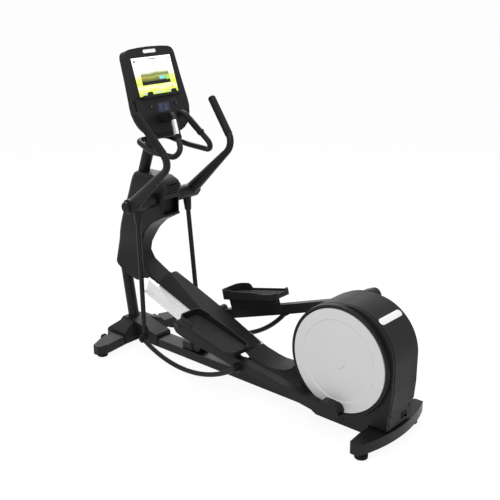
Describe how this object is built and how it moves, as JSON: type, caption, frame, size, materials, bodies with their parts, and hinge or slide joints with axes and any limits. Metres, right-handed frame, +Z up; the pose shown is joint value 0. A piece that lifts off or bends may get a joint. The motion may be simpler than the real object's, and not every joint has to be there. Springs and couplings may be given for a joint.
{
  "type": "elliptical trainer",
  "caption": "Front-ramp elliptical trainer with swinging handles, fixed pulse handlebar, tablet-style console and a covered rear crank drum.",
  "frame": {"origin": "centre of the bounding box on the floor, between the levelling feet", "axes": "+X towards the rear crank drum, +Y to the rider's right, +Z up from the floor; the rider faces -X"},
  "size_m": [2.114, 0.768, 1.8792],
  "materials": {
    "frame_paint": "satin charcoal powder coat",
    "shell_plastic": "fine-grained charcoal",
    "bezel_plastic": "satin black",
    "lever_paint": "satin charcoal",
    "pedal_plastic": "textured black",
    "rubber": "matt",
    "roller_plastic": "smooth",
    "steel": "turned",
    "bronze": "plain bearing bronze",
    "rail_aluminium": "anodised",
    "disc_plastic": "satin light grey",
    "sensor_metal": "satin",
    "glass_black": "glossy black cover glass",
    "motor": "black"
  },
  "bodies": {
    "frame": {"main_beam": "frame_paint", "front_crossbar": "frame_paint", "rear_crossbar": "frame_paint", "levelling_feet": "rubber", "base_fasteners": "steel", "hub_cover": "shell_plastic", "mast": "frame_paint", "tower_front_cover": "shell_plastic", "tower_rear_cover": "shell_plastic", "pivot_shaft": "steel", "fixed_handlebar": "lever_paint", "pulse_sensors": "sensor_metal", "console_back": "shell_plastic", "console_bezel": "bezel_plastic", "screens": "glass_black", "reading_rack": "bezel_plastic", "name_plates": "sensor_metal", "lift_drive": "motor", "drive_frame": "frame_paint", "crank_bearings": "steel", "brake_unit": "motor", "housing_left": "shell_plastic", "housing_right": "shell_plastic", "rear_fairing": "shell_plastic", "power_inlet": "bezel_plastic", "drive_belt": "rubber"},
    "ramp": {"rail_left": "rail_aluminium", "rail_right": "rail_aluminium", "ramp_frame": "frame_paint", "ramp_cover": "shell_plastic"},
    "crank": {"crank_disc_left": "disc_plastic", "crank_disc_right": "disc_plastic", "crankshaft": "steel", "crank_pulley": "steel"},
    "flywheel": {"flywheel": "steel"},
    "lift_nut": {"lift_nut": "bronze"},
    "slider_left": {"roller_axle_left": "steel"},
    "roller_left": {"roller_left": "roller_plastic"},
    "bush_left": {"axle_bush_left": "bronze"},
    "arm_left": {"arm_left": "lever_paint", "pedal_left": "pedal_plastic"},
    "handle_left": {"handle_left": "lever_paint", "grip_left": "rubber", "lever_rod_left": "lever_paint"},
    "link_bush_left": {"link_bush_left": "bronze"},
    "link_left": {"link_left": "lever_paint"},
    "wheel_left": {"wheel_left": "rubber"},
    "key_left": {"key_left": "bezel_plastic"},
    "slider_right": {"roller_axle_right": "steel"},
    "roller_right": {"roller_right": "roller_plastic"},
    "bush_right": {"axle_bush_right": "bronze"},
    "arm_right": {"arm_right": "lever_paint", "pedal_right": "pedal_plastic"},
    "handle_right": {"handle_right": "lever_paint", "grip_right": "rubber", "lever_rod_right": "lever_paint"},
    "link_bush_right": {"link_bush_right": "bronze"},
    "link_right": {"link_right": "lever_paint"},
    "wheel_right": {"wheel_right": "rubber"},
    "key_right": {"key_right": "bezel_plastic"}
  },
  "joints": [
    {"name": "ramp_incline", "type": "hinge", "parent": "frame", "child": "ramp", "pos_m": [0.041, 0, 0.17], "axis": [0, 1, 0], "range_deg": [-5, 5]},
    {"name": "stride_left", "type": "slide", "parent": "ramp", "child": "slider_left", "axis": [0.9397, 0, -0.342], "range_m": [-0.26, 0.26]},
    {"name": "stride_right", "type": "slide", "parent": "ramp", "child": "slider_right", "axis": [0.9397, 0, -0.342], "range_m": [-0.26, 0.26]},
    {"name": "roller_turn_left", "type": "hinge", "parent": "slider_left", "child": "roller_left", "pos_m": [-0.36758, -0.094, 0.32461], "axis": [0, 1, 0], "continuous": true},
    {"name": "axle_tilt_left", "type": "hinge", "parent": "slider_left", "child": "bush_left", "pos_m": [-0.36758, -0.173, 0.32461], "axis": [0, 1, 0], "range_deg": [-4, 4]},
    {"name": "arm_swing_left", "type": "hinge", "parent": "bush_left", "child": "arm_left", "pos_m": [-0.36758, -0.173, 0.32461], "axis": [0, 1, 0], "range_deg": [-6, 6]},
    {"name": "handle_swing_left", "type": "hinge", "parent": "frame", "child": "handle_left", "pos_m": [-0.661, -0.185, 1.003], "axis": [0, 1, 0], "range_deg": [-18, 18]},
    {"name": "link_tilt_left", "type": "hinge", "parent": "handle_left", "child": "link_bush_left", "pos_m": [-0.6434, -0.215, 0.16418], "axis": [0, 1, 0], "range_deg": [-3, 3]},
    {"name": "link_swing_left", "type": "hinge", "parent": "link_bush_left", "child": "link_left", "pos_m": [-0.6434, -0.215, 0.16418], "axis": [0, 1, 0], "range_deg": [-22, 22]},
    {"name": "wheel_turn_left", "type": "hinge", "parent": "frame", "child": "wheel_left", "pos_m": [-1.004, -0.215, 0.056], "axis": [0, 1, 0], "continuous": true},
    {"name": "roller_turn_right", "type": "hinge", "parent": "slider_right", "child": "roller_right", "pos_m": [-0.34673, 0.094, 0.31702], "axis": [0, 1, 0], "continuous": true},
    {"name": "axle_tilt_right", "type": "hinge", "parent": "slider_right", "child": "bush_right", "pos_m": [-0.34673, 0.173, 0.31702], "axis": [0, 1, 0], "range_deg": [-4, 4]},
    {"name": "arm_swing_right", "type": "hinge", "parent": "bush_right", "child": "arm_right", "pos_m": [-0.34673, 0.173, 0.31702], "axis": [0, 1, 0], "range_deg": [-6, 6]},
    {"name": "handle_swing_right", "type": "hinge", "parent": "frame", "child": "handle_right", "pos_m": [-0.661, 0.185, 1.003], "axis": [0, 1, 0], "range_deg": [-18, 18]},
    {"name": "link_tilt_right", "type": "hinge", "parent": "handle_right", "child": "link_bush_right", "pos_m": [-0.5759, 0.215, 0.16833], "axis": [0, 1, 0], "range_deg": [-3, 3]},
    {"name": "link_swing_right", "type": "hinge", "parent": "link_bush_right", "child": "link_right", "pos_m": [-0.5759, 0.215, 0.16833], "axis": [0, 1, 0], "range_deg": [-22, 22]},
    {"name": "wheel_turn_right", "type": "hinge", "parent": "frame", "child": "wheel_right", "pos_m": [-1.004, 0.215, 0.056], "axis": [0, 1, 0], "continuous": true},
    {"name": "crank_turn", "type": "hinge", "parent": "frame", "child": "crank", "pos_m": [0.741, 0, 0.421], "axis": [0, 1, 0], "continuous": true},
    {"name": "flywheel_turn", "type": "hinge", "parent": "frame", "child": "flywheel", "pos_m": [0.881, 0, 0.268], "axis": [0, 1, 0], "continuous": true},
    {"name": "lift_travel", "type": "slide", "parent": "frame", "child": "lift_nut", "axis": [0, 0, 1], "range_m": [-0.045, 0.045]},
    {"name": "key_press_left", "type": "slide", "parent": "frame", "child": "key_left", "axis": [-0.9504, 0, -0.311], "range_m": [0, 0.003], "stiffness_N_per_m": 400},
    {"name": "key_press_right", "type": "slide", "parent": "frame", "child": "key_right", "axis": [-0.9504, 0, -0.311], "range_m": [0, 0.003], "stiffness_N_per_m": 400}
  ],
  "couplings": [
    {"joint": "stride_right", "follows": "stride_left", "ratio": -1},
    {"joint": "axle_tilt_left", "follows": "ramp_incline", "ratio": -0.66},
    {"joint": "arm_swing_left", "follows": "stride_left", "rad_per_m": -0.364},
    {"joint": "handle_swing_left", "follows": "stride_left", "rad_per_m": -1.12},
    {"joint": "link_tilt_left", "follows": "ramp_incline", "ratio": -0.295},
    {"joint": "link_swing_left", "follows": "stride_left", "rad_per_m": 1.35},
    {"joint": "axle_tilt_right", "follows": "ramp_incline", "ratio": -0.52},
    {"joint": "arm_swing_right", "follows": "stride_left", "rad_per_m": 0.36},
    {"joint": "handle_swing_right", "follows": "stride_left", "rad_per_m": 1.11},
    {"joint": "link_tilt_right", "follows": "ramp_incline", "ratio": -0.42},
    {"joint": "link_swing_right", "follows": "stride_left", "rad_per_m": -1.39},
    {"joint": "flywheel_turn", "follows": "crank_turn", "ratio": 6.8182},
    {"joint": "lift_travel", "follows": "ramp_incline", "m_per_rad": 0.48}
  ]
}
